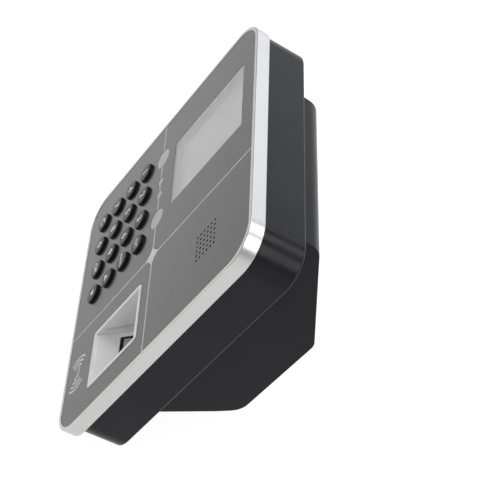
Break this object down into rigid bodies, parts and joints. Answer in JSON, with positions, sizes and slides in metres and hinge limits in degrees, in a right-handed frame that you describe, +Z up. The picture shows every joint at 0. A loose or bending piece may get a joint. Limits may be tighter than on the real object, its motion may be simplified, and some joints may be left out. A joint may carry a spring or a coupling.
{
  "type": "time clock terminal",
  "caption": "Desk-standing time clock: leaning black face with display, round keys, lamps, speaker, card reader and finger pocket, silver frame, wedge stand.",
  "frame": {"origin": "on the desk surface, at the middle of the bounding box", "axes": "+Z up from the desk, +X to the right of someone facing the keypad, +Y to the rear; the face looks towards -Y and leans back 37.1 degrees"},
  "size_m": [0.154, 0.1224, 0.1435],
  "materials": {
    "black_gloss": "polished black acrylic",
    "clear_lens": "clear acrylic window",
    "silver": "satin silver paint",
    "black_matte": "fine-textured black plastic",
    "rubber": "soft black rubber",
    "screen": "unlit grey display",
    "grey_plastic": "light grey plastic",
    "ribbon": "amber polyimide film",
    "lamp_lens": "milky light guide",
    "led": "pale lamp package",
    "circuit_board": "green circuit board",
    "key_plastic": "glossy black key",
    "tray_silver": "satin silver paint on plastic",
    "sensor_glass": "optical sensor window",
    "speaker_paper": "black paper cone",
    "copper": "bare copper track",
    "steel": "plated steel",
    "wire": "red insulated wire",
    "battery_wrap": "blue shrink wrap",
    "strap": "woven black strap"
  },
  "bodies": {
    "casing": {"face_plate": "black_gloss", "display_lens": "clear_lens", "chrome_frame": "silver", "rear_housing": "black_matte", "stand_shell": "black_matte", "rubber_feet": "rubber", "lcd_panel": "screen", "lcd_frame": "grey_plastic", "lcd_ribbon": "ribbon", "left_lamp_lens": "lamp_lens", "right_lamp_lens": "lamp_lens", "small_lamp_lenses": "lamp_lens", "indicator_leds": "led", "keypad_membrane": "rubber", "keypad_board": "circuit_board", "finger_tray": "tray_silver", "sensor_gasket": "black_matte", "sensor_glass": "sensor_glass", "sensor_module": "black_matte", "speaker_gasket": "rubber", "speaker_basket": "steel", "speaker_cone": "speaker_paper", "speaker_lead": "wire", "card_board": "circuit_board", "card_coil": "copper", "main_board": "circuit_board", "board_chips": "black_matte", "cell_holder": "black_matte", "coin_cell": "steel", "ethernet_socket": "steel", "usb_socket": "steel", "dc_jack": "black_matte", "battery_tray": "black_matte", "battery_pack": "battery_wrap", "battery_strap": "strap", "battery_lead": "wire", "front_screws": "steel", "board_screws": "steel", "housing_screws": "steel", "stand_screws": "steel"},
    "key_1": {"key_1": "key_plastic"},
    "key_2": {"key_2": "key_plastic"},
    "key_3": {"key_3": "key_plastic"},
    "key_esc": {"key_esc": "key_plastic"},
    "key_4": {"key_4": "key_plastic"},
    "key_5": {"key_5": "key_plastic"},
    "key_6": {"key_6": "key_plastic"},
    "key_menu": {"key_menu": "key_plastic"},
    "key_7": {"key_7": "key_plastic"},
    "key_8": {"key_8": "key_plastic"},
    "key_9": {"key_9": "key_plastic"},
    "key_up": {"key_up": "key_plastic"},
    "key_clear": {"key_clear": "key_plastic"},
    "key_0": {"key_0": "key_plastic"},
    "key_ok": {"key_ok": "key_plastic"},
    "key_down": {"key_down": "key_plastic"}
  },
  "joints": [
    {"name": "press_1", "type": "slide", "parent": "casing", "child": "key_1", "axis": [0, 0.7976, -0.6032], "range_m": [0, 0.001], "stiffness_N_per_m": 500, "springref_m": -0.0003},
    {"name": "press_2", "type": "slide", "parent": "casing", "child": "key_2", "axis": [0, 0.7976, -0.6032], "range_m": [0, 0.001], "stiffness_N_per_m": 500, "springref_m": -0.0003},
    {"name": "press_3", "type": "slide", "parent": "casing", "child": "key_3", "axis": [0, 0.7976, -0.6032], "range_m": [0, 0.001], "stiffness_N_per_m": 500, "springref_m": -0.0003},
    {"name": "press_esc", "type": "slide", "parent": "casing", "child": "key_esc", "axis": [0, 0.7976, -0.6032], "range_m": [0, 0.001], "stiffness_N_per_m": 500, "springref_m": -0.0003},
    {"name": "press_4", "type": "slide", "parent": "casing", "child": "key_4", "axis": [0, 0.7976, -0.6032], "range_m": [0, 0.001], "stiffness_N_per_m": 500, "springref_m": -0.0003},
    {"name": "press_5", "type": "slide", "parent": "casing", "child": "key_5", "axis": [0, 0.7976, -0.6032], "range_m": [0, 0.001], "stiffness_N_per_m": 500, "springref_m": -0.0003},
    {"name": "press_6", "type": "slide", "parent": "casing", "child": "key_6", "axis": [0, 0.7976, -0.6032], "range_m": [0, 0.001], "stiffness_N_per_m": 500, "springref_m": -0.0003},
    {"name": "press_menu", "type": "slide", "parent": "casing", "child": "key_menu", "axis": [0, 0.7976, -0.6032], "range_m": [0, 0.001], "stiffness_N_per_m": 500, "springref_m": -0.0003},
    {"name": "press_7", "type": "slide", "parent": "casing", "child": "key_7", "axis": [0, 0.7976, -0.6032], "range_m": [0, 0.001], "stiffness_N_per_m": 500, "springref_m": -0.0003},
    {"name": "press_8", "type": "slide", "parent": "casing", "child": "key_8", "axis": [0, 0.7976, -0.6032], "range_m": [0, 0.001], "stiffness_N_per_m": 500, "springref_m": -0.0003},
    {"name": "press_9", "type": "slide", "parent": "casing", "child": "key_9", "axis": [0, 0.7976, -0.6032], "range_m": [0, 0.001], "stiffness_N_per_m": 500, "springref_m": -0.0003},
    {"name": "press_up", "type": "slide", "parent": "casing", "child": "key_up", "axis": [0, 0.7976, -0.6032], "range_m": [0, 0.001], "stiffness_N_per_m": 500, "springref_m": -0.0003},
    {"name": "press_clear", "type": "slide", "parent": "casing", "child": "key_clear", "axis": [0, 0.7976, -0.6032], "range_m": [0, 0.001], "stiffness_N_per_m": 500, "springref_m": -0.0003},
    {"name": "press_0", "type": "slide", "parent": "casing", "child": "key_0", "axis": [0, 0.7976, -0.6032], "range_m": [0, 0.001], "stiffness_N_per_m": 500, "springref_m": -0.0003},
    {"name": "press_ok", "type": "slide", "parent": "casing", "child": "key_ok", "axis": [0, 0.7976, -0.6032], "range_m": [0, 0.001], "stiffness_N_per_m": 500, "springref_m": -0.0003},
    {"name": "press_down", "type": "slide", "parent": "casing", "child": "key_down", "axis": [0, 0.7976, -0.6032], "range_m": [0, 0.001], "stiffness_N_per_m": 500, "springref_m": -0.0003}
  ]
}
